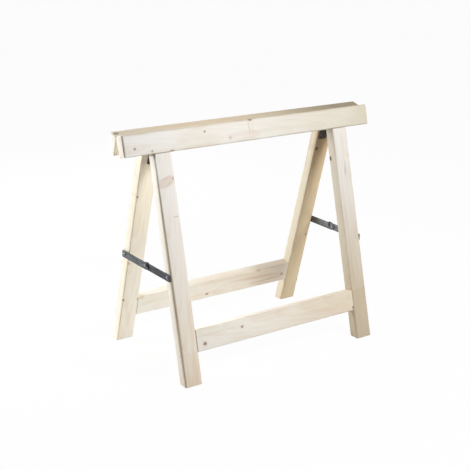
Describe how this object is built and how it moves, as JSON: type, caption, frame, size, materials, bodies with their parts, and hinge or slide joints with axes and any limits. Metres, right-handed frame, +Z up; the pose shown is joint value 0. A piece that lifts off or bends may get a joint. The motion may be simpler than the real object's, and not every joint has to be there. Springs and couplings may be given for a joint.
{
  "type": "folding trestle",
  "caption": "Folding timber trestle: two planed softwood frames hinged at the top, held open by a two-arm steel stay at each end.",
  "frame": {"origin": "on the floor, under the middle of the open trestle", "axes": "+X along the rails to the right, +Y to the back frame, +Z up"},
  "size_m": [0.94, 0.4616, 0.7499],
  "materials": {
    "spruce": "planed, untreated pale spruce with small knots",
    "beech": "turned, hidden in the joints",
    "dark_steel": "dark oiled strap steel",
    "zinc_steel": "dull zinc-plated flat steel",
    "screw_steel": "bright zinc-plated"
  },
  "bodies": {
    "front_frame": {"front_top_rail": "spruce", "front_left_leg": "spruce", "front_right_leg": "spruce", "front_lower_rail": "spruce", "front_left_leg_head_dowel_inner": "beech", "front_left_leg_head_dowel_outer": "beech", "front_right_leg_head_dowel_inner": "beech", "front_right_leg_head_dowel_outer": "beech", "front_left_lower_rail_dowel_upper": "beech", "front_left_lower_rail_dowel_lower": "beech", "front_right_lower_rail_dowel_upper": "beech", "front_right_lower_rail_dowel_lower": "beech", "left_hinge_front_leaf": "dark_steel", "right_hinge_front_leaf": "dark_steel", "left_hinge_pin": "dark_steel", "right_hinge_pin": "dark_steel", "left_hinge_front_screw_top": "screw_steel", "left_hinge_front_screw_middle": "screw_steel", "left_hinge_front_screw_bottom": "screw_steel", "right_hinge_front_screw_top": "screw_steel", "right_hinge_front_screw_middle": "screw_steel", "right_hinge_front_screw_bottom": "screw_steel", "left_stay_front_screw": "screw_steel", "right_stay_front_screw": "screw_steel", "right_stay_spacer": "screw_steel"},
    "back_frame": {"back_top_rail": "spruce", "back_left_leg": "spruce", "back_right_leg": "spruce", "back_lower_rail": "spruce", "back_left_leg_head_dowel_inner": "beech", "back_left_leg_head_dowel_outer": "beech", "back_right_leg_head_dowel_inner": "beech", "back_right_leg_head_dowel_outer": "beech", "back_left_lower_rail_dowel_upper": "beech", "back_left_lower_rail_dowel_lower": "beech", "back_right_lower_rail_dowel_upper": "beech", "back_right_lower_rail_dowel_lower": "beech", "left_hinge_back_leaf": "dark_steel", "right_hinge_back_leaf": "dark_steel", "left_hinge_back_screw_top": "screw_steel", "left_hinge_back_screw_middle": "screw_steel", "left_hinge_back_screw_bottom": "screw_steel", "right_hinge_back_screw_top": "screw_steel", "right_hinge_back_screw_middle": "screw_steel", "right_hinge_back_screw_bottom": "screw_steel", "left_stay_back_screw": "screw_steel", "right_stay_back_screw": "screw_steel", "left_stay_spacer": "screw_steel"},
    "left_front_arm": {"left_stay_front_arm": "zinc_steel", "left_stay_rivet_tail": "screw_steel"},
    "left_back_arm": {"left_stay_back_arm": "zinc_steel", "left_stay_rivet_head": "screw_steel"},
    "right_front_arm": {"right_stay_front_arm": "zinc_steel", "right_stay_rivet_head": "screw_steel"},
    "right_back_arm": {"right_stay_back_arm": "zinc_steel", "right_stay_rivet_tail": "screw_steel"}
  },
  "joints": [
    {"name": "fold", "type": "hinge", "parent": "front_frame", "child": "back_frame", "pos_m": [0, 0, 0.71757], "axis": [-1, 0, 0], "range_deg": [0, 29.5]},
    {"name": "left_front_arm_turn", "type": "hinge", "parent": "front_frame", "child": "left_front_arm", "pos_m": [-0.372, -0.1274, 0.324], "axis": [1, 0, 0], "range_deg": [0, 64.85]},
    {"name": "right_front_arm_turn", "type": "hinge", "parent": "front_frame", "child": "right_front_arm", "pos_m": [0.372, -0.1274, 0.324], "axis": [1, 0, 0], "range_deg": [0, 64.85]},
    {"name": "left_back_arm_turn", "type": "hinge", "parent": "back_frame", "child": "left_back_arm", "pos_m": [-0.372, 0.1274, 0.324], "axis": [-1, 0, 0], "range_deg": [0, 64.85]},
    {"name": "right_back_arm_turn", "type": "hinge", "parent": "back_frame", "child": "right_back_arm", "pos_m": [0.372, 0.1274, 0.324], "axis": [-1, 0, 0], "range_deg": [0, 64.85]}
  ],
  "couplings": [
    {"joint": "left_front_arm_turn", "follows": "fold", "ratio": 2.1983},
    {"joint": "right_front_arm_turn", "follows": "fold", "ratio": 2.1983},
    {"joint": "left_back_arm_turn", "follows": "fold", "ratio": 2.1983},
    {"joint": "right_back_arm_turn", "follows": "fold", "ratio": 2.1983}
  ]
}
